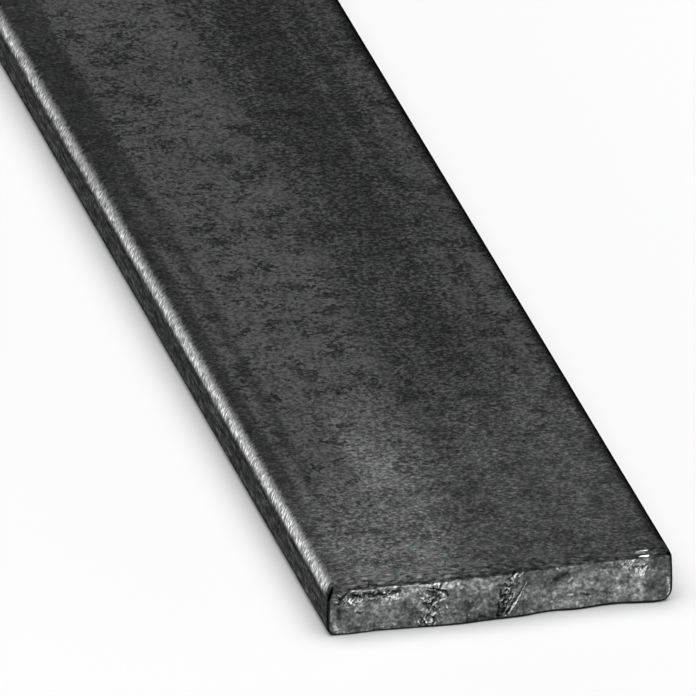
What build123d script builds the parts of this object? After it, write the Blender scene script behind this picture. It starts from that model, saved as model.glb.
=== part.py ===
"""A hot-rolled steel flat bar, one piece of stock, sheared to length at both ends.

Units are millimetres. X runs across the width, Y along the length and Z through the
thickness. The origin is on the bottom face, at the middle of the width and length.

The bar is rolled to its section: two flat wide faces, two slightly crowned narrow
sides and four rounded long edges, each of its own width and height. It is then
sheared. At the near end (-Y) the blade came down from above, so the top edge is
dragged down into a smooth roll, the rest of the end is a torn face that leans under
it, and the line of the cut wanders across the width. At the far end (+Y) the bar was
the piece pushed down, so the same cut shows there the other way up, and straight.
"""
import math
import os

from build123d import *

# The rolled section
bar_width = 30.0
bar_thickness = 5.0
bar_length = 1000.0
top_left_edge = (1.0, 1.5)  # how far each rounded edge reaches across, and down or up
top_right_edge = (1.2, 0.9)
bottom_left_edge = (0.8, 0.8)
bottom_right_edge = (1.0, 1.2)
side_crown = 0.08           # how far each narrow side swells at half its height

# The line of the near cut, seen from above: it stands furthest out at its belly
belly_from_left = 12.0      # from the left side of the bar to the belly
hollow_from_left = 24.5     # from the left side to the deepest hollow
left_setback = 0.2          # how far the cut stands back at the left side
hollow_setback = 0.6        # and in the hollow
right_setback = 0.35        # and at the right side

# The sheared edge itself
roll_length = 1.7           # how far from the cut the top face starts to bend down
roll_depth_left = 0.95      # how far it is dragged down, near the left side
roll_depth_right = 0.75     # and near the right side
corner_roll_depth = 0.15    # at the very corners, where the rounded edges hold it up
corner_reach = 1.6          # from a side to where the roll has its whole depth
fracture_lean = 0.2         # how far the bottom of the torn face stands back
end_edge_radius = 0.4       # the upright edges between the cut and the narrow sides
far_roll_depth = 0.8        # the roll of the far end, along its bottom edge

# How the cutting tools are made
overcut = 2.0               # how far a cutting tool reaches past the steel
run_out = 0.05              # how far a tool's edge lifts off the face that it leaves
edge_tool_gap = 0.02        # how far the edge-rounding tool stands off the cut
roll_fullness = 0.75        # where the curve's pull lies, as a share of its length
cut_stations = 13           # profiles across the width, through which a cut is lofted


def side_at(z):
    """How far a crowned side lies from the middle of the bar, at height z."""
    return bar_width / 2 - side_crown * (2 * z / bar_thickness - 1) ** 2


def crowned_side(side, low_z, high_z):
    """One narrow side in section, upwards; side is -1 for the left, 1 for the right."""
    middle_z = bar_thickness / 2
    return ThreePointArc(
        (side * side_at(low_z), low_z), (side * side_at(middle_z), middle_z),
        (side * side_at(high_z), high_z),
    )


def rounded_edge(side, above, width, height):
    """A quarter ellipse in section, between a narrow side and the top or bottom face."""
    z = bar_thickness - height if above else height
    center = (side * (side_at(z) - width), z)
    quarter = {(1, True): 0, (-1, True): 90, (-1, False): 180, (1, False): 270}
    start = quarter[(side, above)]
    return EllipticalCenterArc(center, width, height, start, arc_size=90)


def rolled_section():
    """The bar's section: flat faces, crowned sides and rounded long edges."""
    top_left = rounded_edge(-1, True, *top_left_edge)
    top_right = rounded_edge(1, True, *top_right_edge)
    bottom_left = rounded_edge(-1, False, *bottom_left_edge)
    bottom_right = rounded_edge(1, False, *bottom_right_edge)
    outline = [
        top_left, top_right, bottom_left, bottom_right,
        crowned_side(-1, bottom_left_edge[1], bar_thickness - top_left_edge[1]),
        crowned_side(1, bottom_right_edge[1], bar_thickness - top_right_edge[1]),
        Line(top_right @ 1, top_left @ 0),
        Line(bottom_left @ 1, bottom_right @ 0),
    ]
    return make_face(outline)


def rolled_length():
    """The section drawn out along the length, a little over, before it is sheared."""
    rolled = bar_length + 2 * overcut
    return extrude(Plane.XZ.offset(-rolled / 2) * rolled_section(), amount=rolled)


def ease(start, end, share):
    """A value that leaves start and reaches end without a corner."""
    share = min(max(share, 0.0), 1.0)
    return start + (end - start) * (1 - math.cos(math.pi * share)) / 2


def near_setback(x):
    """How far the near cut stands back from the bar's end, at x across the width."""
    from_left = x + bar_width / 2
    if from_left < belly_from_left:
        return ease(left_setback, 0, from_left / belly_from_left)
    if from_left < hollow_from_left:
        between = hollow_from_left - belly_from_left
        return ease(0, hollow_setback, (from_left - belly_from_left) / between)
    beyond = bar_width - hollow_from_left
    return ease(hollow_setback, right_setback, (from_left - hollow_from_left) / beyond)


def near_roll_depth(x):
    """How far the top edge is dragged down, at x across the width."""
    from_left = x + bar_width / 2
    across = roll_depth_left + (roll_depth_right - roll_depth_left) * from_left / bar_width
    from_side = bar_width / 2 - abs(x)
    return ease(corner_roll_depth, across, from_side / corner_reach)


def waste_profile(x, setback, roll_depth):
    """What the blade takes away, in side view at x: the roll's curve and the tear."""
    cut = setback - bar_length / 2
    outside = -bar_length / 2 - 2 * overcut
    above = bar_thickness + overcut
    lean_slope = fracture_lean / (bar_thickness - roll_depth)
    roll_foot = (x, cut, bar_thickness - roll_depth)
    roll_pull = (x, cut + roll_length * (1 - roll_fullness), bar_thickness)
    roll_start = (x, cut + roll_length, bar_thickness + run_out)
    below = (x, cut + fracture_lean + lean_slope * overcut, -overcut)
    outline = Bezier(roll_start, roll_pull, roll_foot)
    outline += Polyline(
        roll_foot, below, (x, outside, -overcut), (x, outside, above),
        (x, cut + roll_length, above), roll_start,
    )
    return make_face(outline)


def sheared_waste(setback_at, roll_depth_at):
    """The waste at the near end, lofted across the width from its side views."""
    first = -bar_width / 2 - overcut
    step = (bar_width + 2 * overcut) / (cut_stations - 1)
    places = [first + step * index for index in range(cut_stations)]
    return loft([waste_profile(x, setback_at(x), roll_depth_at(x)) for x in places])


def edge_shaving(side, setback):
    """What rubs off an upright end edge; side is -1 for the left, 1 for the right."""
    cut = setback - bar_length / 2 - edge_tool_gap
    middle = end_edge_radius * (1 - math.sqrt(0.5))
    face_x = side * bar_width / 2
    past_x = face_x + side * overcut
    on_cut = (face_x - side * end_edge_radius, cut)
    on_side = (face_x, cut + end_edge_radius)
    outline = ThreePointArc(on_cut, (face_x - side * middle, cut + middle), on_side)
    outline += Polyline(
        on_side, (past_x, on_side[1]), (past_x, cut - 2 * overcut),
        (on_cut[0], cut - 2 * overcut), on_cut,
    )
    upright = make_face(outline).translate((0, 0, -overcut))
    return extrude(upright, amount=bar_thickness + 2 * overcut, dir=(0, 0, 1))


def near_waste():
    """Everything that comes off at the near end."""
    waste = [sheared_waste(near_setback, near_roll_depth)]
    waste += [edge_shaving(-1, left_setback), edge_shaving(1, right_setback)]
    return waste


def far_waste():
    """The far end's waste: a straight cut, turned half round about X."""
    waste = [sheared_waste(lambda x: 0.0, lambda x: far_roll_depth)]
    waste += [edge_shaving(-1, 0.0), edge_shaving(1, 0.0)]
    middle = Axis((0, 0, bar_thickness / 2), (1, 0, 0))
    return [piece.rotate(middle, 180) for piece in waste]


def flat_bar():
    """The finished bar, as one solid."""
    bar = rolled_length()
    for waste in near_waste() + far_waste():
        bar -= waste
    return bar


def main():
    bar = flat_bar()
    bar.label = "flat_bar"
    box = bar.bounding_box()
    print("solids:", len(bar.solids()), " valid:", bar.is_valid)
    print("size:", round(box.size.X, 3), round(box.size.Y, 3), round(box.size.Z, 3))
    print("volume, mm3:", round(bar.volume, 1))
    os.makedirs("parts", exist_ok=True)
    export_step(bar.solid(), "parts/flat_bar.step")


main()
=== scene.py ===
# %% [markdown]
# # A hot-rolled steel flat bar
# The bar is one piece of stock: rolled hot to its section, covered in dark mill scale,
# and sheared to length. The CAD model gives its sizes and stays as it is. This lesson
# models the steel again over it, finely enough to show the rolled edges, the sheared
# end and its torn face, and then gives it its finishes.

# %% Load the frame
import math

import bmesh
import bpy
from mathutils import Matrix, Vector, noise

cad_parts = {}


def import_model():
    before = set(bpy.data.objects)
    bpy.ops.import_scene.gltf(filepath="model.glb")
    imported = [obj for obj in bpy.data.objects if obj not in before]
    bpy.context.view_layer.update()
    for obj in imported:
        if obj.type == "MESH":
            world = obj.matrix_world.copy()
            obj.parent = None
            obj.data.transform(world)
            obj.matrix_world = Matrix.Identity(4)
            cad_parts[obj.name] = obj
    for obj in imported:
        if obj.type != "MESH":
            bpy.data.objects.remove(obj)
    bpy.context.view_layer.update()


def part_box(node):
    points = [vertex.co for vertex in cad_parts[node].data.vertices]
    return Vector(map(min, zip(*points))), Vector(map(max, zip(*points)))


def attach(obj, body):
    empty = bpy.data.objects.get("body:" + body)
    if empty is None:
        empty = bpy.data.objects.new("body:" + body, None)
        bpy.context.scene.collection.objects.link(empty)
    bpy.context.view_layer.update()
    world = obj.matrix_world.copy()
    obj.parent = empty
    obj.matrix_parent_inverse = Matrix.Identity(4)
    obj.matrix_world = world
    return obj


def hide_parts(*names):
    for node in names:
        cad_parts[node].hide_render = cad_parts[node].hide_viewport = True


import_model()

# %% The stock's own sizes, in millimetres
MM = 0.001


def rounded(values, digits=2):
    """Several numbers, rounded for printing."""
    return [round(value, digits) for value in values]


low, high = (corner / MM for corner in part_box("flat_bar"))
bar_width = high.x - low.x
bar_length = high.y - low.y
bar_thickness = high.z - low.z
half_width = bar_width / 2
half_length = bar_length / 2
near_end = -half_length
far_end = half_length
print("bar, mm:", rounded((bar_width, bar_length, bar_thickness)))

# %% [markdown]
# ## The camera
# The bar is seen from far away through a very long lens, so its long edges hardly draw
# together. The camera looks down on the near end from its left. It is aimed at a point
# just above the steel, and then backed off along its own line of sight.

# %% Put a camera with a long lens in the scene
lens_mm = 1646.25
sensor_mm = 36.0


def add_object(name, data):
    """A new object for a mesh, a camera or a lamp, linked into the scene."""
    made = bpy.data.objects.new(name, data)
    bpy.context.scene.collection.objects.link(made)
    return made


lens = bpy.data.cameras.new("long_lens")
lens.lens = lens_mm
lens.sensor_width = sensor_mm
lens.clip_end = 100.0
camera = add_object("camera", lens)
bpy.context.scene.camera = camera
print("lens, mm:", lens.lens)

# %% Aim it at the near end
camera_distance = 2676.8
camera_azimuth = math.radians(-13.699)
camera_elevation = math.radians(24.470)
aim_point = Vector((-10.266, -487.700, 20.915))

camera.rotation_euler = (math.pi / 2 - camera_elevation, 0, camera_azimuth)
backwards = camera.rotation_euler.to_matrix() @ Vector((0, 0, 1))
camera.location = (aim_point + backwards * camera_distance) * MM
print("camera at, m:", rounded(camera.location, 3))

# %% [markdown]
# ## The block and its dividing lines
# The bar could be one long cube with a bevel, but then the torn end and the rolled-down
# top edge would have nothing to bend. So the cube is divided first: a few plane cuts part
# it into zones, and then each zone's edges are divided evenly, finely at the sheared
# ends and coarsely along the length. Only afterwards is every point moved to its place.

# %% Where the zones meet
corner = 1.0  # the strip of each face that its rounded edges take up
upper_line = 3.5  # the sides are plain between these two heights
lower_line = 0.8
across = (-half_width + corner, half_width - corner)
near_zones = [near_end + reach for reach in (2.4, 5.6, 15.0, 130.0)]
far_zones = [far_end - reach for reach in (2.4, 8.0)]
print("near zones, mm from the end:", rounded(y - near_end for y in near_zones))

# %% Start from a cube
steel = bmesh.new()
bmesh.ops.create_cube(steel, size=1.0)
bmesh.ops.scale(steel, vec=(bar_width, bar_length, bar_thickness), verts=steel.verts)
bmesh.ops.translate(steel, vec=(0, 0, bar_thickness / 2), verts=steel.verts)


def cut_through(point, normal):
    """Part every face that the plane crosses, and keep both sides."""
    everything = steel.verts[:] + steel.edges[:] + steel.faces[:]
    bmesh.ops.bisect_plane(steel, geom=everything, plane_co=point, plane_no=normal)


for x in across:
    cut_through((x, 0, 0), (1, 0, 0))
for z in (lower_line, upper_line):
    cut_through((0, 0, z), (0, 0, 1))
for y in near_zones + far_zones:
    cut_through((0, y, 0), (0, 1, 0))
print("after the plane cuts:", len(steel.faces), "faces")

# %% Divide a zone's edges evenly
X, Y, Z = 0, 1, 2
ANYWHERE = (-1e6, 1e6)


def divide(axis, pieces, x=ANYWHERE, y=ANYWHERE, z=ANYWHERE):
    """Divide each edge along the axis that lies in the ranges into equal pieces."""
    slack = 1e-4
    chosen = []
    for edge in steel.edges:
        start, end = (vert.co for vert in edge.verts)
        if abs(end[axis] - start[axis]) < 0.99 * (end - start).length:
            continue
        middle = (start + end) / 2
        if all(
            least - slack <= place <= most + slack
            for place, (least, most) in zip(middle, (x, y, z))
        ):
            chosen.append(edge)
    bmesh.ops.subdivide_edges(steel, edges=chosen, cuts=pieces - 1, use_grid_fill=True)


left_corner = (-half_width, across[0])
right_corner = (across[1], half_width)
divide(X, 35, x=across)
divide(X, 3, x=left_corner)
divide(X, 3, x=right_corner)
divide(Z, 3, z=(0, lower_line))
divide(Z, 3, z=(lower_line, upper_line))
divide(Z, 3, z=(upper_line, bar_thickness))
print("section divided:", len(steel.faces), "faces")

# %% Divide along the length
zone_starts = [near_end] + near_zones
for rows, start, end in zip((24, 16, 16, 96), zone_starts, near_zones):
    divide(Y, rows, y=(start, end))
divide(Y, 28, y=(near_zones[-1], far_zones[-1]))
divide(Y, 12, y=(far_zones[1], far_zones[0]))
divide(Y, 12, y=(far_zones[0], far_end))
print("length divided:", len(steel.faces), "faces")

# %% Make the ends finer, zone inside zone
nearest = (near_end, near_zones[0])
nearer = (near_end, near_zones[1])
near = (near_end, near_zones[2])
far = (far_zones[1], far_end)
farthest = (far_zones[0], far_end)
for zone in (near, nearer, far, farthest):
    divide(X, 2, y=zone)
    divide(Z, 2, y=zone)
divide(X, 2, x=across, y=nearest)
divide(Z, 2, y=nearest)
end_face = (near_end, near_end)
for patch in ((-7.6, -3.8), (-0.6, 2.6)):
    divide(X, 2, x=patch, y=end_face)
    divide(Z, 2, x=patch, y=end_face, z=(lower_line, upper_line))
divide(Y, 8, x=left_corner, y=near_zones[2:], z=(upper_line, bar_thickness))
print("ends divided:", len(steel.faces), "faces")

# %% [markdown]
# ## From block to rolled section
# Hot rolling leaves no sharp edge. Each long edge is rounded, and each narrow side swells
# a little. A point in the square corner of the block goes to the same share of the way
# round a quarter ellipse, so the even divisions stay even on the round.

# %% Mix two values


def blend(start, end, share):
    """A straight-line mix, with the share held between 0 and 1."""
    return start + (end - start) * min(max(share, 0.0), 1.0)


def ease(start, end, share):
    """A mix that leaves start and reaches end without a corner."""
    share = min(max(share, 0.0), 1.0)
    return start + (end - start) * (1 - math.cos(math.pi * share)) / 2


print("a quarter of the way:", blend(0, 1, 0.25), "blended,", round(ease(0, 1, 0.25), 3), "eased")

# %% Take a square corner to a round one


def round_off(a, b):
    """Take a point of the unit square to the quarter disc, ring by ring."""
    reach = max(a, b)
    if reach == 0:
        return 0.0, 0.0
    angle = math.pi / 4 * (b / a if a >= b else 2 - a / b)
    return reach * math.cos(angle), reach * math.sin(angle)


print("the square's corner goes to:", rounded(round_off(1, 1)))

# %% The rounded long edges and the swell of the sides
# left and right: how far each rounded edge reaches across, and down or up
top_edges = {-1: (1.0, 1.5), 1: (1.2, 0.9)}
bottom_edges = {-1: (0.8, 0.8), 1: (1.0, 1.2)}
side_crown = 0.08


def edge_height(edges, x):
    """The rounded edge's height on x's side, or between the two over a wide face."""
    share = (x - across[0]) / (across[1] - across[0])
    return blend(edges[-1][1], edges[1][1], share)


print("top edge at the middle, mm:", round(edge_height(top_edges, 0), 2))

# %% Roll the block's section


def rolled(x, z):
    """Where a point of the block lies in the rolled section."""
    side = 1 if x > 0 else -1
    share_up = (z - lower_line) / (upper_line - lower_line)
    top_height = edge_height(top_edges, x)
    bottom_height = edge_height(bottom_edges, x)
    width = blend(bottom_edges[side][0], top_edges[side][0], share_up)
    into_side = (abs(x) - across[1]) / corner
    into_face = max(
        (z - upper_line) / (bar_thickness - upper_line), (lower_line - z) / lower_line
    )
    if into_side > 0 and into_face > 0:
        into_side, into_face = round_off(into_side, into_face)
    if into_side > 0:
        new_x = side * (half_width - width * (1 - into_side))
    else:
        new_x = x * (half_width - width) / across[1]
    if into_face <= 0:
        new_z = blend(bottom_height, bar_thickness - top_height, share_up)
    elif z > upper_line:
        new_z = bar_thickness - top_height * (1 - into_face)
    else:
        new_z = bottom_height * (1 - into_face)
    drawn_in = side_crown * (2 * new_z / bar_thickness - 1) ** 2
    return new_x - side * drawn_in * max(into_side, 0.0), new_z


print("top right corner, mm:", rounded(rolled(half_width, bar_thickness)))

# %% [markdown]
# ## The sheared ends
# The blade of a shear first drags the top edge down into a smooth roll, and then the rest
# of the thickness tears. So the top face bends down over its last millimetre or two, and
# the torn face below leans in a little. At the near end the line of the cut wanders
# across the width. The far end was the piece pushed down, so it is the same thing turned
# over, and straight.

# %% A noise to make lines and faces uneven


def lump(x, z, size, layer):
    """Smooth noise between about -1 and 1, with bumps of that size."""
    return noise.noise(Vector((x / size, z / size, 10.0 * layer)))


print("noise at three places:", rounded(lump(x, 0, 1.7, 40) for x in (-9, 0, 9)))

# %% The line of the near cut
belly_from_left = 12.0  # where the cut stands furthest out
hollow_from_left = 24.5  # and where it stands furthest back
left_setback = 0.2
hollow_setback = 0.6
right_setback = 0.35
waver = 0.05  # how unevenly the cut and its roll follow their lines


def cut_line(x):
    """The even line that the cut follows."""
    from_left = x + half_width
    if from_left < belly_from_left:
        return ease(left_setback, 0, from_left / belly_from_left)
    if from_left < hollow_from_left:
        between = hollow_from_left - belly_from_left
        return ease(0, hollow_setback, (from_left - belly_from_left) / between)
    beyond = bar_width - hollow_from_left
    return ease(hollow_setback, right_setback, (from_left - hollow_from_left) / beyond)


def near_setback(x):
    """How far the near cut stands back from the bar's end, at x across the width."""
    return cut_line(x) + waver * (1 + lump(x, 0, 1.7, 40)) * ease(0, 1, half_width - abs(x))


print("the cut stands back, mm:", rounded(map(near_setback, (-14, -3, 9.5, 14))))

# %% The depth of the roll
roll_depth_left = 0.95
roll_depth_right = 0.75
corner_roll_depth = 0.15  # the rounded edges hold the roll up at the corners
corner_reach = 1.6
far_roll_depth = 0.8


def near_roll_depth(x):
    """How far the top edge is dragged down, at x across the width."""
    whole = blend(roll_depth_left, roll_depth_right, (x + half_width) / bar_width)
    whole += waver * lump(x, 0, 1.3, 30) + 0.8 * waver * lump(x, 0, 0.4, 31)
    return ease(corner_roll_depth, whole, (half_width - abs(x)) / corner_reach)


print("dragged down, mm:", rounded(map(near_roll_depth, (-14, 0, 14))))

# %% Drag the face down towards the cut
roll_length = 1.7


def roll_drop(from_cut, depth):
    """How far the dragged-down face lies below the flat one: a parabola's arc."""
    if from_cut >= roll_length:
        return 0.0
    turn = 1.5 - math.sqrt(0.25 + 2 * from_cut / roll_length)
    return depth * turn * turn


print("half way along the roll, mm:", round(roll_drop(roll_length / 2, far_roll_depth), 3))

# %% Round the corner between two faces


def soft_corner(first, second, radius):
    """Round the corner between two faces, given a point's distance from each."""
    a, b = 1 - first / radius, 1 - second / radius
    if a <= 0 or b <= 0:
        return first, second
    a, b = round_off(a, b)
    return radius * (1 - a), radius * (1 - b)


print("a corner rounded to 0.4 mm:", rounded(soft_corner(0, 0, 0.4)))

# %% Shear the block's end
fracture_lean = 0.2
upright_radius = 0.4
sharp_upright_radius = 0.12  # the near end's right edge is left sharp low down
bottom_radius = 0.2
end_reach = 2.4  # how far in the rows of points still follow the cut


def sheared(x, from_end, z, setback, roll_depth, right_radius=upright_radius):
    """A block point near an end, bent: its x, depth from the end, height and squeeze."""
    side = 1 if x > 0 else -1
    radius = blend(right_radius, upright_radius, (z - 1.5) / 2) if side > 0 else upright_radius
    from_side, from_end = soft_corner(half_width - abs(x), from_end, radius)
    x = side * (half_width - from_side)
    z, from_end = soft_corner(z, from_end, bottom_radius)
    squeeze = 1 - roll_drop(from_end, roll_depth(x)) / bar_thickness
    lean = fracture_lean * (1 - z / bar_thickness) * ease(1, 0, 2 * from_end / end_reach)
    stands_back = setback(x) * ease(1, 0, from_end / end_reach)
    return x, from_end + stands_back + lean, z, squeeze


middle_top = sheared(0, 0, bar_thickness, near_setback, near_roll_depth)
print("height left at the cut, mm:", round(bar_thickness * middle_top[3], 2))

# %% [markdown]
# ## The torn face
# A torn face is not noise alone. Most of it is evenly lumpy, but here and there it is
# ragged, with dark hollows and raised chips that catch the light. Noise gives the even
# part. The ragged patches are placed one by one, and so are the marks that give this end
# its character: short strokes across the face, each with a width and a height. The same
# strokes set the lightness kept on the points as "tone", and much of it is painted light:
# hollows, sunk patches and dips are painted in shade, chips and lumps in highlight.

# %% The patches, as strokes in mm across the bar and up its face: from, to, half width
ragged_patches = [
    ((-5.7, 3.5), (-6.2, 0.4), 1.3),
    ((1.3, 4.0), (0.2, 0.6), 0.9),
    ((-13.6, 3.3), (-9.2, 3.4), 0.8),
    ((11.2, 3.7), (12.5, 3.2), 0.9),
]
# sunk, and darkened with painted shade: from, to, half width, strength
dark_patches = [
    ((-12.8, 3.6), (-10.0, 3.5), 0.35, 0.5),  # painted shade in the recess under the top edge
    ((-14.0, 2.6), (-13.9, 1.6), 0.35, 0.6),
    ((-6.1, 3.2), (-5.0, 3.2), 0.5, 0.5),
    ((-13.3, 1.5), (-11.6, 1.4), 0.7, 0.3),
    ((-8.3, 2.4), (-7.4, 1.6), 0.9, 0.3),
    ((-3.1, 1.9), (-2.7, 1.3), 0.6, 0.6),  # the pitted spot
    ((-3.1, 0.4), (-0.1, 0.4), 0.75, 0.6),  # the shade along the bottom edge
    ((0.5, 3.0), (0.3, 0.8), 0.7, 0.5),
    ((0.9, 0.5), (2.5, 1.1), 0.6, 0.3),
    ((3.1, 3.3), (4.7, 2.7), 1.1, 0.4),  # painted shade in the hollow right of the torn step
    ((5.0, 3.1), (5.9, 3.6), 0.45, 0.9),
    ((8.2, 1.4), (9.2, 1.4), 0.6, 0.3),
    ((9.2, 3.6), (10.2, 3.6), 0.5, 0.3),
    ((12.9, 3.5), (13.6, 3.2), 0.6, 0.3),
    ((13.0, 1.5), (14.0, 2.0), 0.8, 0.4),
    ((13.8, 0.6), (14.4, 0.7), 0.5, 0.5),
    ((13.3, 3.9), (14.4, 3.3), 0.9, 0.4),  # the dull corner at the right
]
light_patches = [
    ((-8.4, 3.7), (-3.6, 3.7), 0.6, 0.5),  # a bright strip under the top edge
    ((-4.0, 3.5), (-1.0, 3.4), 1.2, 0.35),  # the smooth part left of the middle
    ((-10.0, 3.0), (-8.4, 3.2), 0.8, 0.5),
    ((-10.2, 0.6), (-9.2, 0.6), 0.45, 0.5),
    ((-5.7, 1.4), (-4.0, 1.5), 0.6, 0.3),
    ((-0.5, 3.4), (0.5, 3.5), 0.5, 0.4),
    ((-13.3, 3.1), (-12.0, 2.8), 0.6, 0.4),
    ((-12.5, 2.2), (-7.5, 2.6), 1.6, 0.22),
    ((5.0, 2.0), (12.5, 2.3), 2.6, 0.3),
    ((5.3, 0.9), (6.8, 0.7), 0.7, 0.4),
    ((10.8, 1.5), (12.2, 1.3), 1.2, 0.38),
    ((11.2, 3.6), (12.4, 3.1), 0.9, 0.55),  # the bright patch at the right
]
print("patches:", len(ragged_patches), len(dark_patches), len(light_patches))

# %% Single hollows, darkened with painted shade: from, to, half width, depth
hollows = [
    # the notch and the saw teeth along the left of the top edge
    ((-13.8, 3.4), (-13.2, 4.0), 0.14, 1.1), ((-14.3, 2.9), (-13.85, 2.95), 0.1, 0.8),
    ((-12.7, 3.75), (-12.2, 3.45), 0.16, 0.9), ((-12.05, 3.45), (-11.75, 3.8), 0.1, 1.0),
    ((-11.65, 3.75), (-11.05, 3.6), 0.13, 0.9), ((-11.0, 3.35), (-10.45, 3.6), 0.13, 1.0),
    ((-10.35, 3.45), (-9.75, 3.5), 0.14, 0.9), ((-9.7, 3.75), (-8.7, 3.65), 0.16, 0.9),
    ((-12.5, 2.0), (-11.95, 1.95), 0.11, 0.6),
    # the arches and the ring of the left ragged patch, and the fan below them
    ((-6.4, 3.75), (-5.5, 3.45), 0.1, 0.9), ((-5.5, 3.45), (-4.75, 3.25), 0.12, 1.1),
    ((-4.75, 3.25), (-4.55, 2.75), 0.12, 1.0), ((-5.25, 3.7), (-5.15, 3.9), 0.09, 0.7),
    ((-6.45, 3.45), (-5.65, 3.2), 0.12, 0.7), ((-5.95, 2.3), (-5.35, 2.95), 0.12, 1.1),
    ((-6.65, 2.25), (-5.95, 2.15), 0.16, 0.8), ((-5.75, 1.9), (-5.55, 1.75), 0.14, 1.0),
    ((-5.6, 1.5), (-5.25, 1.75), 0.09, 0.7), ((-6.9, 0.95), (-6.6, 0.7), 0.1, 0.9),
    ((-6.25, 1.1), (-5.6, 0.8), 0.09, 0.7), ((-7.0, 0.15), (-6.85, 0.6), 0.09, 0.8),
    ((-6.7, 0.7), (-6.35, 0.1), 0.09, 0.8), ((-5.9, 0.05), (-5.8, 0.4), 0.08, 0.7),
    # the pitted spot
    ((-3.05, 2.25), (-3.1, 1.75), 0.1, 0.4), ((-2.4, 2.0), (-2.35, 1.65), 0.11, 0.6),
    ((-2.85, 1.95), (-2.6, 1.75), 0.22, 0.5),
    # the torn step: its left border, its knots and the gap beside the long ridge
    ((1.05, 3.9), (1.15, 4.2), 0.11, 0.9), ((1.25, 2.7), (1.65, 3.2), 0.11, 1.0),
    ((0.15, 2.25), (1.1, 2.25), 0.12, 1.1), ((0.05, 2.75), (0.0, 2.05), 0.11, 1.0),
    ((-0.1, 1.55), (-0.15, 0.85), 0.12, 1.1), ((-0.15, 0.85), (-0.25, 0.35), 0.12, 0.7),
    ((0.45, 3.3), (0.65, 3.0), 0.1, 0.9), ((0.75, 2.5), (0.95, 2.7), 0.1, 0.9),
    ((0.25, 1.6), (0.55, 1.3), 0.12, 0.8), ((0.15, 0.65), (0.4, 0.8), 0.12, 0.8),
    ((2.15, 3.05), (1.65, 2.2), 0.1, 0.9), ((1.65, 2.2), (1.05, 1.2), 0.11, 1.1),
    ((1.05, 1.2), (0.55, 0.55), 0.1, 0.9),
    # the right part
    ((4.95, 3.05), (5.9, 3.5), 0.17, 0.5), ((7.4, 1.35), (7.8, 1.2), 0.13, 0.8),
    ((8.95, 1.35), (9.9, 1.05), 0.12, 0.4), ((11.6, 3.4), (12.05, 3.5), 0.14, 0.7),
]
print("hollows:", len(hollows))
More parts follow.
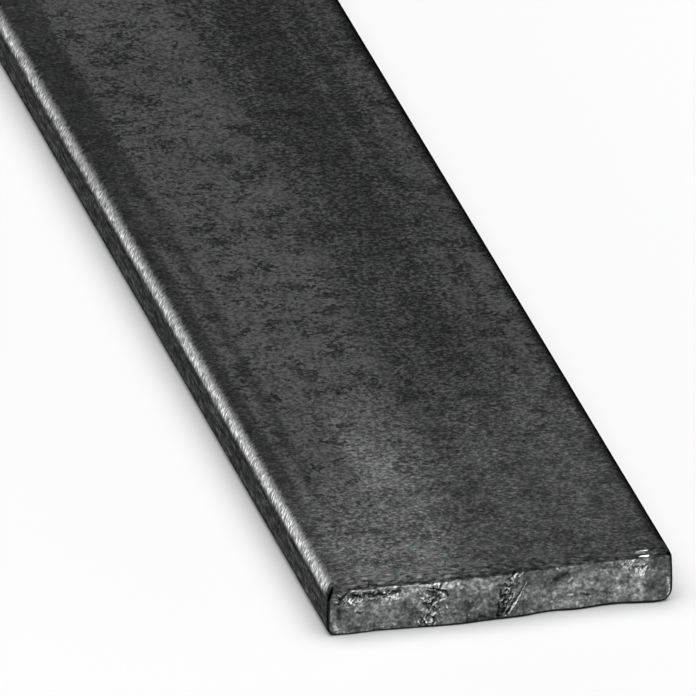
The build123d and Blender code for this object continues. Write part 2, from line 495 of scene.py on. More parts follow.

# %% Single chips with a painted highlight: from, to, half width, height
chips_painted_bright = [
    # along the left of the top edge and below it
    ((-14.2, 3.85), (-13.8, 3.65), 0.08, 0.7), ((-13.55, 3.85), (-13.35, 4.0), 0.08, 0.6),
    ((-12.85, 4.05), (-12.15, 4.05), 0.11, 0.9), ((-12.15, 4.0), (-10.8, 3.95), 0.09, 0.4),
    ((-12.1, 3.9), (-11.95, 3.5), 0.08, 0.7), ((-11.65, 3.1), (-11.55, 3.5), 0.09, 0.9),
    ((-11.15, 3.1), (-10.85, 3.25), 0.1, 0.8), ((-12.15, 2.95), (-11.9, 3.15), 0.1, 0.9),
    ((-10.35, 3.05), (-10.0, 3.05), 0.08, 0.6), ((-10.1, 3.7), (-10.0, 3.6), 0.07, 0.8),
    ((-9.7, 3.25), (-9.2, 3.15), 0.1, 0.9), ((-8.95, 3.35), (-8.65, 3.3), 0.1, 0.8),
    ((-14.4, 3.15), (-14.1, 3.1), 0.11, 1.0), ((-14.1, 2.75), (-13.95, 2.65), 0.08, 0.8),
    ((-13.25, 3.2), (-12.9, 3.05), 0.09, 0.9), ((-12.95, 3.0), (-12.65, 2.75), 0.11, 1.1),
    ((-13.4, 2.65), (-13.05, 2.55), 0.08, 0.8), ((-12.55, 2.2), (-12.4, 2.4), 0.12, 1.3),
    ((-10.2, 2.45), (-10.0, 2.45), 0.1, 1.0), ((-14.3, 0.9), (-14.1, 0.4), 0.3, 0.6),
    ((-10.8, 4.05), (-9.2, 4.1), 0.08, 0.5), ((-9.2, 4.1), (-6.95, 4.05), 0.09, 0.9),
    # the left ragged patch
    ((-6.95, 3.95), (-5.3, 4.0), 0.17, 1.1), ((-5.1, 3.6), (-4.7, 4.05), 0.15, 1.3),
    ((-4.4, 3.55), (-4.05, 3.75), 0.16, 0.9), ((-5.2, 3.15), (-4.95, 2.95), 0.09, 1.0),
    ((-5.2, 2.85), (-4.75, 2.75), 0.08, 0.6), ((-6.9, 2.8), (-6.7, 2.75), 0.11, 1.2),
    ((-6.1, 2.65), (-5.8, 2.75), 0.11, 1.3), ((-5.2, 2.45), (-4.7, 2.6), 0.1, 1.3),
    ((-5.85, 2.1), (-5.3, 2.4), 0.08, 0.8), ((-6.1, 1.7), (-5.85, 2.1), 0.08, 0.6),
    ((-6.0, 1.15), (-5.45, 1.4), 0.11, 1.2), ((-6.5, 1.5), (-6.35, 1.7), 0.09, 0.9),
    ((-4.7, 1.9), (-4.6, 1.65), 0.09, 0.9), ((-5.2, 1.2), (-5.1, 0.95), 0.08, 0.6),
    ((-7.1, 0.6), (-6.95, 0.35), 0.09, 1.1), ((-6.6, 0.8), (-6.4, 0.5), 0.09, 1.0),
    ((-6.25, 0.45), (-5.85, 0.55), 0.09, 0.9), ((-5.75, 0.1), (-5.65, 0.45), 0.09, 0.9),
    ((-7.45, 0.15), (-7.15, 0.1), 0.1, 0.8), ((-7.25, 3.7), (-6.95, 3.2), 0.08, 0.5),
    # the pitted spot
    ((-2.6, 1.1), (-2.35, 1.35), 0.09, 0.9), ((-2.7, 0.75), (-2.65, 0.5), 0.08, 0.6),
    # the torn step, its flecks and its long ridge
    ((1.3, 3.9), (1.5, 4.2), 0.13, 1.2), ((1.85, 4.0), (2.1, 4.25), 0.11, 1.0),
    ((0.4, 2.9), (0.7, 2.85), 0.1, 1.0), ((0.8, 1.85), (1.15, 2.05), 0.11, 1.2),
    ((1.2, 2.25), (1.35, 2.6), 0.11, 1.1), ((0.0, 1.75), (0.15, 1.85), 0.08, 0.7),
    ((0.2, 1.1), (0.35, 1.15), 0.08, 0.7), ((0.4, 1.5), (0.6, 1.65), 0.08, 0.7),
    ((2.3, 3.2), (1.85, 2.3), 0.08, 0.7), ((1.85, 2.3), (1.3, 1.3), 0.1, 1.1),
    ((1.35, 1.4), (0.75, 0.55), 0.13, 1.6), ((0.5, 0.35), (0.35, 0.1), 0.08, 0.5),
    # the right part
    ((6.0, 2.75), (6.3, 3.05), 0.1, 1.2), ((4.95, 4.1), (5.15, 3.9), 0.1, 0.8),
    ((6.05, 1.45), (6.35, 1.45), 0.13, 1.0), ((4.95, 2.4), (7.0, 2.2), 0.14, 0.3),
    ((7.8, 0.7), (8.0, 1.15), 0.09, 0.9), ((11.05, 3.3), (11.2, 3.8), 0.3, 0.3),
    ((11.5, 4.0), (11.7, 4.15), 0.18, 0.8), ((12.2, 2.8), (12.45, 2.75), 0.22, 0.8),
    ((11.5, 2.65), (12.1, 2.6), 0.22, 0.4), ((12.35, 3.8), (12.75, 3.7), 0.2, 0.3),
    # a painted highlight: the fine bright line inside the right corner
    ((14.5, 2.3), (14.6, 1.75), 0.09, 0.8), ((14.74, 1.5), (14.75, 0.9), 0.08, 1.6),
    ((14.75, 0.9), (14.55, 0.45), 0.08, 1.6), ((14.55, 0.45), (14.0, 0.22), 0.08, 1.2),
    ((14.0, 0.22), (13.05, 0.15), 0.07, 0.6),
]
print("chips:", len(chips_painted_bright))

# %% How near a point is to a stroke


def nearness(x, z, start, end, width):
    """1 on the stroke from start to end, easing to 0 at its half width."""
    run_x, run_z = end[0] - start[0], end[1] - start[1]
    share = ((x - start[0]) * run_x + (z - start[1]) * run_z) / (run_x ** 2 + run_z ** 2)
    share = min(max(share, 0.0), 1.0)
    away = math.hypot(x - start[0] - run_x * share, z - start[1] - run_z * share)
    return ease(1, 0, away / width) if away < width else 0.0


print("half a width away:", round(nearness(0, 0.5, (-1, 0), (1, 0), 1.0), 3))

# %% The unevenness of torn steel


def uneven(x, z):
    """The even lumps that every torn face has, from about -1 to 1."""
    return 0.4 * lump(x, z, 0.9, 3) + 0.4 * lump(x, z, 0.38, 4) + 0.4 * lump(x, z, 0.22, 5)


def chips(x, z, size, layer):
    """Slanting scales: noise drawn out up and to the right, with sharp crests."""
    along = (0.5 * x + 0.87 * z) / (2.2 * size)
    over = (0.87 * x - 0.5 * z) / size
    return 1 - 3.2 * abs(noise.noise(Vector((over, along, 10.0 * layer))))


def raggedness(x, z):
    """How ragged the face is there, from 0 to 1."""
    return max(
        min(1.0, 1.5 * nearness(x, z, start, end, width))
        for start, end, width in ragged_patches
    )


def fine_scales(x, z):
    """The fine scales of a ragged patch, from about -1 to 1."""
    return 0.4 * chips(x, z, 0.22, 6) + 0.5 * lump(x, z, 0.16, 7)


print("ragged in the torn step:", round(raggedness(0.7, 2.0), 2))

# %% The near torn face
coarse_warp = 0.06
fine_warp = 0.05


def warped(x, z):
    """A place on the near face, shifted a little, so that no stroke looks ruled."""
    x += coarse_warp * lump(x, z, 0.45, 1) + fine_warp * lump(x, z, 0.17, 11)
    z += coarse_warp * lump(x, z, 0.45, 2) + fine_warp * lump(x, z, 0.17, 12)
    return x, z


def near_torn_face(x, z):
    """The near face at a point: its height above its mean, its tone, how ragged it is."""
    x, z = warped(x, z)
    ragged = raggedness(x, z)
    scales = fine_scales(x, z)
    height = uneven(x, z) + ragged * scales
    # painted light and shade: the tone follows the height, lighter on lumps, darker in dips
    tone = uneven(x, z) + ragged * (0.8 * scales - 0.1)
    for start, end, width, strength in dark_patches:
        share = strength * nearness(x, z, start, end, width)
        height -= share * (0.5 + 0.9 * lump(x, z, 0.3, 8))
        tone -= share * (0.8 + 1.1 * lump(x, z, 0.3, 8))
    for start, end, width, strength in light_patches:
        share = strength * nearness(x, z, start, end, width)
        tone += share * (0.75 + 0.8 * lump(x, z, 0.35, 9))
    # painted shade and highlight: the hollows darken the tone, the chips lighten it
    for marks, direction in ((hollows, -1), (chips_painted_bright, 1)):
        for start, end, width, size in marks:
            share = min(1.0, 1.8 * nearness(x, z, start, end, width))
            share *= 0.9 + 1.0 * lump(x, z, 0.16, 10)
            height += direction * size * share
            tone += (1.2 * direction * size - 0.6 * tone) * share
    return height, tone, ragged


print("a plain place:", rounded(near_torn_face(8.0, 2.5)))

# %% The far torn face


def far_torn_face(x, z):
    """The far face at a point; noise alone says where it is ragged."""
    ragged = ease(0, 1, 1.8 * lump(x, z, 2.6, 20))
    height = uneven(x, z + bar_width) + ragged * fine_scales(x, z)
    # painted light and shade: the tone follows the height, and is darker where ragged
    return height, height - 0.2 * ragged, ragged


print("a far place:", rounded(far_torn_face(8.0, 2.5)))

# %% Tell torn steel from scale
torn_index = 1
nick_from = -13.4  # beyond these, the scale reaches down round the corners
nick_depth = 1.6
nick_width = 1.6
dull_from = 13.2
dull_depth = 0.75
dull_width = 1.2


def scale_reach(x):
    """The height down to which the end face keeps its scale, on the undistorted block."""
    if x < nick_from:
        return bar_thickness - nick_depth * min(1.0, (nick_from - x) / nick_width)
    if x > dull_from:
        return bar_thickness - dull_depth * min(1.0, (x - dull_from) / dull_width)
    return bar_thickness


def is_torn(face):
    """Whether a face of the block belongs to a torn end, not to the scale round it."""
    middle = face.calc_center_median()
    if abs(face.normal.y) < 0.9:
        return False
    return middle.y > 0 or middle.z < scale_reach(middle.x)


for face in steel.faces:
    face.material_index = torn_index if is_torn(face) else 0
print("torn faces:", sum(face.material_index == torn_index for face in steel.faces))

# %% Let the bottom edge of the near cut wander
bottom_line = [  # across the bar, and how far the edge stands out there
    (-12.5, 0.0), (-10.0, -0.12), (-7.0, 0.0), (-3.8, 0.15), (-1.0, 0.02), (1.8, 0.08),
    (4.3, -0.15), (6.9, 0.16), (9.9, -0.08), (13.2, 0.18), (14.8, 0.0),
]
wander_height = 1.4  # how far up the torn face it is felt


def bottom_wander(x, z):
    """How far a point of the near cut stands out, eased along the line and upwards."""
    for (start, first), (end, second) in zip(bottom_line, bottom_line[1:]):
        if start <= x < end:
            stands_out = ease(first, second, (x - start) / (end - start))
            return stands_out * ease(1, 0, z / wander_height)
    return 0.0


print("furthest out, mm:", max(stands_out for x, stands_out in bottom_line))

# %% Place the points of both ends


def placed_near(x, y, z):
    """A point of the near end."""
    x, inward, z, squeeze = sheared(
        x, y - near_end, z, near_setback, near_roll_depth, sharp_upright_radius
    )
    new_x, new_z = rolled(x, z)
    inward -= bottom_wander(x, z) * ease(1, 0, 2 * (y - near_end) / end_reach)
    return new_x, near_end + inward, new_z * squeeze


def placed_far(x, y, z):
    """A point of the far end, which is a near end turned over."""
    x, inward, turned, squeeze = sheared(
        x, half_length - y, bar_thickness - z, lambda x: 0.0, lambda x: far_roll_depth
    )
    new_x, new_z = rolled(x, bar_thickness - turned)
    return new_x, half_length - inward, bar_thickness - (bar_thickness - new_z) * squeeze


print("top of the near cut, mm:", rounded(placed_near(0, near_end, bar_thickness)))

# %% Sink the relief and keep the tone
relief_height = 0.09  # what a height of 1 stands for
brightest_painted_glint = 0.88  # the brightest tone, a chip's painted highlight
left_rim = 0.38  # painted shade: the dark rims of the torn face, beside and below it
right_rim = 0.24
bottom_rim = 0.24
rim_painted_shade = -1.8
tone_and_painted_light_layer = steel.verts.layers.float.new("tone")
ragged_layer = steel.verts.layers.float.new("ragged")


def relief_margin(x, z):
    """How much of the relief a point keeps: none at the end face's rims."""
    from_sides = min((half_width + x) / left_rim, (half_width - x) / right_rim)
    return min(1.0, from_sides, z / bottom_rim)


def keep_relief(vert, inward, torn, margin):
    """Sink a point of a torn face by its relief, and keep its tone and raggedness."""
    height, tone, ragged = torn
    vert.co.y += inward * relief_height * max(0.0, 1 - height) * max(margin, 0.0)
    # painted shade darkens the rims, and no tone is lighter than a chip's painted highlight
    vert[tone_and_painted_light_layer] = min(tone, blend(rim_painted_shade, brightest_painted_glint, 2.0 * margin - 0.9))
    vert[ragged_layer] = ragged if margin >= 1 else 0.0


margins = (relief_margin(reach - half_width, 2.5) for reach in (0, 0.2, 1))
print("margins 0, 0.2 and 1 mm in:", rounded(margins))

# %% Give each torn face its relief
top_edge_share = 0.3  # how much of the relief the top edge keeps
touching = 1e-4  # a point this near a face of the block lies on it


def near_relief(vert, block):
    """Give a point of the near face its relief; where the scale reaches, no tone."""
    height, tone, ragged = near_torn_face(vert.co.x, vert.co.z)
    if block.z > scale_reach(block.x):
        tone = 0.0
    if block.z > bar_thickness - touching:
        height = 1 - top_edge_share * (1 - height)
    keep_relief(vert, 1, (height, tone, ragged), relief_margin(block.x, block.z))


def far_relief(vert, block):
    """Give a point of the far face its relief; its rims lie the other way up."""
    torn = far_torn_face(vert.co.x, bar_thickness - vert.co.z)
    keep_relief(vert, -1, torn, relief_margin(block.x, bar_thickness - block.z))


print("relief kept at the top edge:", top_edge_share)

# %% Shade and scratch the rolled-down edge: across the bar, and back from the cut
top_shade = -0.6  # the dark line along the top of the cut
top_shade_reach = 0.25
side_shade = -0.8  # and the ones down its sides
side_shade_reach = 0.35
roll_scratches = [  # from, to, half width, brightness
    ((12.3, 0.05), (13.1, 0.10), 0.13, 2.0),
    ((12.1, 0.45), (13.1, 0.50), 0.10, 1.5),
    ((12.0, 0.30), (12.8, 0.32), 0.08, 0.6),
]


def roll_tone(x, from_cut):
    """The tone of the rolled-down face: its dark line fades to the right."""
    tone = top_shade * max(0.0, 1 - from_cut / top_shade_reach) * ease(1, 0.1, (x - 1) / 4)
    for start, end, width, bright in roll_scratches:
        tone += bright * nearness(x, from_cut, start, end, width)
    return tone


print("tone on a scratch:", round(roll_tone(12.7, 0.07), 2))

# %% Ripple the burnished edge
ripple_depth = 0.035
ripple_pitch = 0.3
ripple_width = 1.2  # how far a ripple reaches round the edge
ripple_start = 0.6  # how far from the cut the ripples begin
into_edge = (0.8, -0.6)  # the way into the steel, across the bar and up


def sink_ripple(vert, block):
    """Sink a point of the rounded left edge by its ripple."""
    round_edge = (block.x + block.z) / ripple_width
    wave = 0.5 + 0.8 * noise.noise(Vector((vert.co.y / ripple_pitch, round_edge, 90.0)))
    sink = ripple_depth * wave * ease(0, 1, block.y - near_end - ripple_start)
    sink *= min(1.0, (bar_thickness - block.z) + 0.2)
    vert.co.x += into_edge[0] * sink
    vert.co.z += into_edge[1] * sink


print("ripples, mm:", ripple_pitch, "apart,", ripple_depth, "deep")

# %% Move every point to its place
for vert in steel.verts:
    block = vert.co.copy()
    from_cut = block.y - near_end
    from_far = half_length - block.y
    if from_far < end_reach:
        vert.co = placed_far(*block)
        if from_far < touching:
            far_relief(vert, block)
    elif from_cut < end_reach:
        vert.co = placed_near(*block)
        if from_cut < touching:
            near_relief(vert, block)
        elif block.z > bar_thickness - touching:
            vert[tone_and_painted_light_layer] = roll_tone(block.x, from_cut)
        elif abs(block.x) > half_width - touching:
            vert[tone_and_painted_light_layer] = side_shade * max(0.0, 1 - from_cut / side_shade_reach)
    else:
        new_x, new_z = rolled(block.x, block.z)
        vert.co = (new_x, block.y, new_z)
    if block.x < across[0] and block.z > upper_line:
        sink_ripple(vert, block)
print("points moved:", len(steel.verts))

# %% Finish the mesh
bmesh.ops.recalc_face_normals(steel, faces=steel.faces)
for face in steel.faces:
    face.smooth = True
bmesh.ops.scale(steel, vec=(MM, MM, MM), verts=steel.verts)

mesh = bpy.data.meshes.new("flat_bar_steel")
steel.to_mesh(mesh)
steel.free()
bar = add_object("flat_bar_steel", mesh)
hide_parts("flat_bar")
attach(bar, "root")
mesh.calc_loop_triangles()
print("bar triangles:", len(mesh.loop_triangles))

# %% [markdown]
# ## A material is a small machine of nodes
# Every finish here starts from the place on the bar in millimetres, makes a level of
# lightness out of it by arithmetic, noise and ranges, and sends that to the shader. One
# helper for each keeps the machine readable, and is made where it is first needed.

# %% Add nodes, and start the mill scale


def fill(tree, made, inputs):
    """Fill a node's inputs, by name or number: with a value, or a link to an output."""
    for name, value in inputs.items():
        if isinstance(value, bpy.types.NodeSocket):
            tree.links.new(value, made.inputs[name])
        else:
            made.inputs[name].default_value = value


def node(tree, kind, inputs=None, **settings):
    """Add a node with these inputs. Its settings are its properties."""
    made = tree.nodes.new("ShaderNode" + kind)
    for name, value in settings.items():
        setattr(made, name, value)
    fill(tree, made, inputs or {})
    return made


def new_finish(name):
    """An empty material: its tree, its shader and the place on the bar in millimetres."""
    finish = bpy.data.materials.new(name)
    finish.use_nodes = True
    tree = finish.node_tree
    where = node(tree, "TexCoord").outputs["Object"]
    scaled = node(tree, "VectorMath", {0: where, "Scale": 1 / MM}, operation="SCALE")
    return finish, tree, tree.nodes["Principled BSDF"], scaled.outputs[0]


scale, tree, shader, place = new_finish("mill_scale")
x, y, z = node(tree, "SeparateXYZ", {0: place}).outputs
print("nodes so far:", len(tree.nodes))

# %% Do arithmetic with nodes


def calc(tree, operation, *values):
    """The result of one Math node."""
    return node(tree, "Math", dict(enumerate(values)), operation=operation).outputs[0]


def product(tree, first, *others):
    """Several values multiplied together."""
    for value in others:
        first = calc(tree, "MULTIPLY", first, value)
    return first


def shifted(tree, value, by, reach):
    """A value moved up or down by another one, times how far that may move it."""
    return calc(tree, "MULTIPLY_ADD", by, reach, value)


def mix(tree, share, first, second):
    """Between two levels, by share."""
    return node(tree, "Mix", {0: share, 2: first, 3: second}, data_type="FLOAT").outputs[0]


from_middle = calc(tree, "ABSOLUTE", x)
print("nodes so far:", len(tree.nodes))

# %% Make noise, in millimetres


def speckle(tree, place, size, detail=2.0, stretch=(1, 1, 1), rough=0.5, seed=0.0):
    """Noise with bumps about that size, averaging 0; a stretch below 1 lengthens them."""
    moved = node(tree, "Mapping", {"Vector": place, "Location": (seed, seed, seed)}).outputs[0]
    inputs = {0: moved, 1: [part / size for part in stretch]}
    sized = node(tree, "VectorMath", inputs, operation="MULTIPLY").outputs[0]
    inputs = {"Vector": sized, "Scale": 1.0, "Detail": detail, "Roughness": rough}
    bumps = node(tree, "TexNoise", inputs).outputs["Fac"]
    return calc(tree, "SUBTRACT", bumps, 0.5)


wobble = speckle(tree, place, 9.0, detail=3.0, stretch=(2.0, 1.0, 1.0), seed=21.0)
clusters = speckle(tree, place, 2.2, detail=3.0, rough=0.6, seed=9.0)
wobble_bend, cluster_bend = 0.5, 1.6  # how strongly each bends the lanes
lane_x = shifted(tree, shifted(tree, x, wobble, wobble_bend), clusters, cluster_bend)
print("nodes so far:", len(tree.nodes))

# %% Work with ranges


def span(tree, value, start, end, low=0.0, high=1.0, smooth=True):
    """Stretch start..end to low..high, and hold the result inside it."""
    kind = "SMOOTHSTEP" if smooth else "LINEAR"
    inputs = {"Value": value, "From Min": start, "From Max": end, "To Min": low, "To Max": high}
    return node(tree, "MapRange", inputs, interpolation_type=kind).outputs[0]


def before(tree, value, start, end):
    """1 up to start, fading to 0 at end."""
    return span(tree, value, start, end, 1.0, 0.0)


def between(tree, value, start, end, fade):
    """1 from start to end, fading to 0 on both sides of each."""
    rising = span(tree, value, start - fade, start + fade)
    return product(tree, rising, before(tree, value, end - fade, end + fade))


left_lane_edge = (-11.5, -10.5)
left_lane = before(tree, lane_x, *left_lane_edge)
print("nodes so far:", len(tree.nodes))

# %% [markdown]
# ## Mill scale: the lanes
# Mill scale is the layer of oxide that grows on steel while it is rolled hot. The rolls
# leave it in lanes along the bar, some dark and some paler. Towards the sheared end a
# painted light makes the scale paler. Painted stripes would look ruled, so the lanes are colour
# ramps across the width, and slow noise bends them and lets them run into each other.

# %% The lanes: from and to, in mm across the bar, and how light the scale is
far_lanes = [
    (-14.8, -11.5, 0.022),  # a dark lane along the left edge
    (-10.5, -1.5, 0.055),  # the broad pale lane left of the middle
    (0.2, 0.5, 0.047),
    (1.2, 2.5, 0.029),
    (5.2, 8.0, 0.0185),  # the darkest lane
    (8.7, 8.9, 0.029),  # a paler line inside it
    (9.7, 10.2, 0.021),
    (12.3, 13.1, 0.042),  # a pale lane along the right edge
    (13.8, 14.8, 0.021),
]
middle_lanes = [
    (-14.8, -13.5, 0.023),
    (-12.8, -12.4, 0.057),  # a narrow pale lane, and the dark line beside it
    (-11.7, -11.5, 0.031),
    (-10.6, -1.0, 0.060),  # the broad pale lane
    (-0.2, 0.0, 0.043),
    (1.2, 3.0, 0.029),
    (5.4, 7.2, 0.0235),  # the darkest lane
    (8.4, 8.7, 0.031),
    (9.9, 10.5, 0.047),  # a narrow pale lane
    (11.1, 11.3, 0.031),
    (12.0, 13.4, 0.053),
    (14.0, 14.8, 0.030),
]
near_lanes = [
    (-14.8, -13.8, 0.073),
    (-12.5, -4.1, 0.110),  # where the painted light is brightest
    (-2.6, -2.2, 0.080),
    (-0.2, 1.6, 0.057),
    (3.4, 4.8, 0.060),
    (5.7, 7.0, 0.046),
    (8.3, 10.2, 0.058),
    (11.6, 13.2, 0.051),
    (14.1, 14.8, 0.037),
]
print("lanes:", len(far_lanes), len(middle_lanes), len(near_lanes))

# %% Turn each set of lanes into a curve


def ladder(tree, value, start, end, steps, curve="CARDINAL"):
    """A colour ramp used as a curve: level by place, eased between its steps."""
    ramp = node(tree, "ValToRGB", {"Fac": span(tree, value, start, end, smooth=False)})
    ramp.color_ramp.interpolation = curve
    stops = ramp.color_ramp.elements
    places = [(place - start) / (end - start) for place, level in steps]
    stops[0].position, stops[1].position = places[0], places[-1]
    for place in places[1:-1]:
        stops.new(place)
    for stop, (place, level) in zip(stops, steps):
        stop.color = (level, level, level, 1)
    return ramp.outputs["Color"]


def across_lanes(lanes):
    """The lightness across the bar: level inside each lane, eased between them."""
    steps = [(edge, level) for start, end, level in lanes for edge in (start, end)]
    return ladder(tree, lane_x, -half_width, half_width, steps, curve="EASE")


far_level, middle_level, near_level = map(across_lanes, (far_lanes, middle_lanes, near_lanes))
print("nodes so far:", len(tree.nodes))

# %% Let the far lanes run into the middle ones
middle_run = (near_end + 52.0, near_end + 80.0)  # where the middle lanes give way
left_lane_lag = -12.0  # and how much later in the left lane
drift = speckle(tree, place, 14.0, detail=3.0, seed=3.0)
along = shifted(tree, shifted(tree, y, drift, 30.0), left_lane, left_lane_lag)
level = mix(tree, span(tree, along, *middle_run), middle_level, far_level)
print("middle lanes end, mm:", [edge - near_end for edge in middle_run])

# %% Paint light on the scale by the near cut
painted_light_run = (near_end + 9.0, near_end + 42.0)  # where the painted light fades out
left_shift, right_shift = 13.0, -9.0  # sooner at the left, later at the right
pale_patch_across = (-7.1, -1.6)
pale_patch_run = (near_end + 22.0, near_end + 29.0)
ragged_y = shifted(tree, y, speckle(tree, place, 2.5, detail=3.0, seed=12.0), 10.0)
shifted_y = shifted(tree, ragged_y, before(tree, x, -8.0, -6.8), left_shift)
shifted_y = shifted(tree, shifted_y, span(tree, x, 1.5, 3.5), right_shift)
# painted light: the scale is made paler towards the near cut, and in one pale patch
near_cut_painted_light = before(tree, shifted_y, *painted_light_run)
pale_patch = between(tree, lane_x, *pale_patch_across, 0.35)
pale_patch = product(tree, pale_patch, before(tree, ragged_y, *pale_patch_run))
near_cut_painted_light = calc(tree, "MAXIMUM", near_cut_painted_light, pale_patch)
level = mix(tree, near_cut_painted_light, level, near_level)
print("rubbed over, mm:", [edge - near_end for edge in painted_light_run])

# %% [markdown]
# ## Mill scale: the grain
# Close up, scale is not one grey. On the pale lanes it lies in smooth flakes with dark
# pits between them; on the dark lanes it is restless all over. So the grain is held back
# on the flakes by a ceiling, the pits are cut where two noises add up, and both are let
# loose where the level is dark. Near the cut the roll has drawn the grain out sideways.

# %% Noises of several sizes
grain_size = 0.30
lengthened = (1.0, 0.78, 1.0)
flattened = (0.85, 0.85, 1.0)
drawn_across = (0.5, 1.2, 1.6)
even_grain = speckle(tree, place, grain_size, detail=3.0, stretch=flattened, rough=0.65)
drawn_grain = speckle(tree, place, grain_size, stretch=drawn_across, rough=0.6, seed=41.0)
rolled_down = before(tree, y, near_end + 0.9, near_end + 2.0)
grain = mix(tree, rolled_down, even_grain, drawn_grain)
specks = speckle(tree, place, 0.46, detail=4.0, stretch=lengthened, rough=0.7, seed=7.0)
clouds = speckle(tree, place, 14.0, detail=2.0, seed=17.0)
print("grain, mm:", grain_size)

# %% Where the scale is restless, and where its pits are
dark_levels = (0.030, 0.045)  # darker than this, the scale is restless all over
pit_rims = (0.06, 0.09)  # a pit begins where the two noises add up to these
darkness = before(tree, level, *dark_levels)
restless = calc(tree, "MAXIMUM", darkness, near_cut_painted_light)
busy = calc(tree, "MAXIMUM", restless, span(tree, clusters, -0.02, 0.12))
pits = span(tree, shifted(tree, specks, clusters, 0.75), *pit_rims)
print("nodes so far:", len(tree.nodes))

# %% Speckle the lanes
calm_strength, busy_strength, near_cut_grain_strength = 4.5, 9.6, 5.4
calm_ceiling, restless_ceiling = 1.5, 2.6  # how far the grain may lighten the scale
calm_pits, restless_pits = -0.80, -0.55  # how far a pit darkens it
flake_level = 1.20


def varied(tree, level, *noises):
    """A level made lighter and darker by each noise, in proportion and never below 0."""
    for strength, noise_output in noises:
        factor = calc(tree, "EXPONENT", calc(tree, "MULTIPLY", noise_output, strength))
        level = calc(tree, "MULTIPLY", level, factor)
    return level


strength = mix(tree, busy, calm_strength, busy_strength)
strength = mix(tree, left_lane, strength, near_cut_grain_strength)
strength = mix(tree, near_cut_painted_light, strength, near_cut_grain_strength)
speckling = calc(tree, "EXPONENT", product(tree, grain, strength))
ceiling = mix(tree, restless, calm_ceiling, restless_ceiling)
pit_depth = mix(tree, restless, calm_pits, restless_pits)
pitting = calc(tree, "MULTIPLY_ADD", pits, pit_depth, flake_level)
level = product(tree, level, calc(tree, "MINIMUM", speckling, ceiling), pitting)
level = varied(tree, level, (0.5, clouds))
print("nodes so far:", len(tree.nodes))

# %% [markdown]
# ## Mill scale: the edges
# The narrow sides are streaked lengthwise, with painted shade at the foot and two darker
# lines higher up. The rounded right edge is darkened with painted shade. The left one has been
# dragged along guides and shines, in a band of fine bright ripples, and its colour there is also
# a painted highlight, brighter towards the cut. Each is laid over the level.

# %% The narrow sides
side_start = (14.55, 14.9)  # how far from the middle they begin
# painted shade: the steps make the foot of each side, next to the floor, darkest
side_steps = [
    (0.0, 0.002), (0.6, 0.014), (1.0, 0.052), (1.7, 0.050), (2.2, 0.040), (2.8, 0.052),
    (3.15, 0.034), (3.5, 0.050), (bar_thickness, 0.050),
]
on_side = span(tree, from_middle, *side_start)
streaks = speckle(tree, place, 0.3, detail=3.0, stretch=(1.0, 0.15, 1.0), seed=5.0)
side_level = ladder(tree, z, 0.0, bar_thickness, side_steps)
side_level = varied(tree, side_level, (4.0, streaks), (4.0, grain))
level = mix(tree, on_side, level, side_level)
print("side steps:", len(side_steps))

# %% Painted shade on the rounded right edge
deepest_right_shade = 0.93  # how far the painted shade darkens the right edge at most
right_shade_across = (13.5, half_width - 0.3)
right_shade_at_cut = (14.3, half_width - 0.05)  # by the cut it keeps to the edge
by_the_cut = before(tree, y, near_end + 0.8, near_end + 3.0)
right_shade_x = mix(tree, by_the_cut, span(tree, x, *right_shade_across), span(tree, x, *right_shade_at_cut))
right_edge_painted_shade = product(tree, right_shade_x, span(tree, z, 3.4, 4.1))
level = product(tree, level, calc(tree, "MULTIPLY_ADD", right_edge_painted_shade, -deepest_right_shade, 1.0))
print("nodes so far:", len(tree.nodes))

# %% The burnished left edge and its painted highlight
ripple_size = 0.26
far_highlight_level, near_highlight_level = 0.43, 0.56  # the painted highlight is brighter towards the cut
ripples = speckle(tree, place, ripple_size, stretch=(0.45, 1.0, 0.45), seed=2.0)
above = span(tree, z, 3.4, 4.2)
outside = before(tree, shifted(tree, x, ripples, 1.3), -14.95, -14.25)
left_only = before(tree, x, -14.2, -13.8)
behind_cut = span(tree, y, near_end + 0.8, near_end + 1.15)
burnished_highlight_band = product(tree, above, outside, behind_cut, left_only)
nearer = before(tree, y, near_end + 35.0, near_end + 95.0)
burnish_and_highlight_level = mix(tree, nearer, far_highlight_level, near_highlight_level)
# painted highlight: the ripples make the band's colour lighter in streaks
burnish_and_highlight_level = varied(tree, burnish_and_highlight_level, (8.0, ripples), (2.5, grain))
level = mix(tree, burnished_highlight_band, level, burnish_and_highlight_level)
print("ripples, mm:", ripple_size)

# %% [markdown]
# ## Mill scale: on the shader
# The level becomes a colour with a faint green cast in patches, as scale has. The scale
# is only a little metallic, and the burnished edge is bare steel. The grain also goes
# into a bump, and a second bump over it carries the ripples.

# %% Colour
plain_tint = (1.0, 1.0, 1.0, 1.0)
green_tint = (0.92, 1.0, 0.972, 1.0)
scale_tone = 2.3  # how strongly the points' tone, with its painted shade by the cut, shows on the scale


def set_colour(tree, shader, tint, level):
    """Send the shader a tint at that level of lightness."""
    colour = node(tree, "VectorMath", {0: tint, "Scale": level}, operation="SCALE").outputs[0]
    fill(tree, shader, {"Base Color": colour})


tone = node(tree, "Attribute", attribute_name="tone").outputs["Fac"]
level = varied(tree, level, (scale_tone, tone))
green_patches = span(tree, speckle(tree, place, 2.4, seed=31.0), -0.02, 0.12)
outside_highlight_band = calc(tree, "SUBTRACT", 1.0, burnished_highlight_band)
green_patches = product(tree, green_patches, busy, outside_highlight_band)
tints = {0: green_patches, 6: plain_tint, 7: green_tint}
tint = node(tree, "Mix", tints, data_type="RGBA").outputs[2]
set_colour(tree, shader, tint, level)
print("tints:", plain_tint[:3], green_tint[:3])

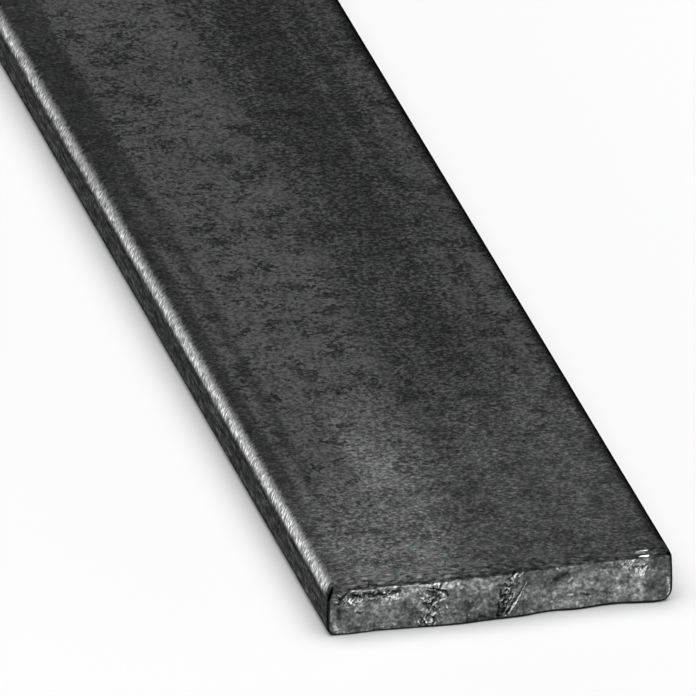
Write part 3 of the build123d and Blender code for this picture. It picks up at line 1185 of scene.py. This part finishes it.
# %% Gloss
side_metal, face_metal, burnished_metal = 0.02, 0.18, 0.85  # the face adds to the side
scale_rough, grain_rough, burnished_rough = 0.45, 0.3, 0.34
off_side = calc(tree, "SUBTRACT", 1.0, on_side)
outside_right_edge_shade = calc(tree, "SUBTRACT", 1.0, right_edge_painted_shade)
metal = calc(tree, "MULTIPLY_ADD", off_side, face_metal, side_metal)
metal = mix(tree, burnished_highlight_band, product(tree, metal, outside_right_edge_shade), burnished_metal)
rough = calc(tree, "MULTIPLY_ADD", grain, grain_rough, scale_rough)
rough = mix(tree, burnished_highlight_band, rough, burnished_rough)
fill(tree, shader, {"Metallic": metal, "Roughness": rough, "Specular IOR Level": 0.0})
print("gloss linked:", shader.inputs["Metallic"].is_linked, shader.inputs["Roughness"].is_linked)

# %% Bumps
grain_depth = 0.35  # in millimetres
ripple_bump_depth = 0.12


def bumpy(tree, height, depth_mm, under=None):
    """A bumped normal. A height of 1 stands for that depth; under is the bump below it."""
    inputs = {"Height": height, "Distance": depth_mm * MM, "Strength": 1.0}
    if under is not None:
        inputs["Normal"] = under
    return node(tree, "Bump", inputs).outputs[0]


height = calc(tree, "MULTIPLY_ADD", pits, -0.4, product(tree, grain, busy))
grain_bump = bumpy(tree, height, grain_depth)
ripple_bump = bumpy(tree, product(tree, ripples, burnished_highlight_band), ripple_bump_depth, grain_bump)
fill(tree, shader, {"Normal": ripple_bump})
mesh.materials.append(scale)
print("mill scale nodes:", len(tree.nodes))

# %% [markdown]
# ## Torn steel
# The torn face is fresh grey metal. Its big lights and darks are already on the points as
# tone, much of it painted shade and highlight. The shader adds what is finer than the points:
# an even grain, and in the ragged patches thin slivers that slant up to the right, as the
# steel tore.

# %% Noises of the torn face
torn, tree, shader, place = new_finish("torn_steel")
tone = node(tree, "Attribute", attribute_name="tone").outputs["Fac"]
ragged = node(tree, "Attribute", attribute_name="ragged").outputs["Fac"]
fine = speckle(tree, place, 0.24, detail=3.0, rough=0.65, seed=1.0)
slant = (0.0, math.radians(-30.0), 0.0)
slanted = node(tree, "Mapping", {"Vector": place, "Rotation": slant}).outputs[0]
slivers = speckle(tree, slanted, 0.17, detail=1.0, stretch=(1.0, 1.0, 0.45), seed=8.0)
slivers = product(tree, slivers, ragged)
clouds = speckle(tree, place, 2.5, seed=4.0)
print("torn steel nodes so far:", len(tree.nodes))

# %% Colour, gloss and bumps of the torn face
torn_level = 0.184
torn_tint = (0.965, 1.0, 1.0)
level = varied(tree, torn_level, (1.9, tone), (1.0, clouds), (7.0, slivers))
level = product(tree, level, span(tree, fine, -0.30, 0.30, 0.15, 1.85, smooth=False))
set_colour(tree, shader, torn_tint, level)
torn_rough = calc(tree, "MULTIPLY_ADD", fine, 0.3, 0.5)
torn_bump = bumpy(tree, calc(tree, "ADD", slivers, fine), grain_depth)
fill(tree, shader, {"Roughness": torn_rough, "Normal": torn_bump})
fill(tree, shader, {"Metallic": 0.3, "Specular IOR Level": 0.2})
mesh.materials.append(torn)
print("torn steel nodes:", len(tree.nodes))

# %% [markdown]
# ## The studio
# The bar lies on a wide white floor, so it keeps its soft shadow. The light is a dome:
# bright overhead and low down, dim between them. The dim belt is what makes the top face
# read dark and the edges stand out, as black steel does among white walls. One small
# lamp far behind rakes along the burnished edge.

# %% The floor
floor_reach = 100.0  # in metres, from the middle
floor_mesh = bpy.data.meshes.new("floor")
flat_floor = bmesh.new()
bmesh.ops.create_grid(flat_floor, x_segments=1, y_segments=1, size=floor_reach)
just_under = (0, 0, -0.02 * MM)
bmesh.ops.translate(flat_floor, vec=just_under, verts=flat_floor.verts)
flat_floor.to_mesh(floor_mesh)
flat_floor.free()
floor = add_object("floor", floor_mesh)

white = bpy.data.materials.new("white_floor")
white.use_nodes = True
floor_shader = white.node_tree.nodes["Principled BSDF"]
matt_white = {"Base Color": (0.93, 0.93, 0.93, 1.0), "Roughness": 0.9, "Specular IOR Level": 0.0}
fill(white.node_tree, floor_shader, matt_white)
floor_mesh.materials.append(white)
print("floor, m:", rounded(floor.dimensions))

# %% The dome of light
dome_steps = [(0.0, 0.9), (0.1, 0.9), (0.22, 0.12), (0.7, 0.15), (0.86, 1.0), (1.0, 1.0)]
dome_strength = 2.35
world = bpy.data.worlds.new("studio")
bpy.context.scene.world = world
world.use_nodes = True
tree = world.node_tree
direction = node(tree, "TexCoord").outputs["Generated"]
up = node(tree, "SeparateXYZ", {0: direction}).outputs[2]
brightness = ladder(tree, up, 0.0, 1.0, dome_steps)
fill(tree, tree.nodes["Background"], {"Color": brightness, "Strength": dome_strength})
print("dome nodes:", len(tree.nodes))

# %% The lamp behind the bar
lamp_watts = 1.5
lamp_place = Vector((-0.9, 0.8, 0.10))
lamp_aim = Vector((0.0, -0.45, 0.0))
strip = bpy.data.lights.new("edge_strip", "AREA")
strip.shape = "RECTANGLE"
strip.size, strip.size_y = 0.4, 0.2
strip.energy = lamp_watts
lamp = add_object("edge_strip", strip)
lamp.location = lamp_place
lamp.rotation_euler = (lamp_aim - lamp.location).to_track_quat("-Z", "Y").to_euler()
lamp.visible_camera = False
bpy.context.scene.view_settings.view_transform = "Standard"
print("lamp from the end, m:", round((lamp_aim - lamp.location).length, 2))
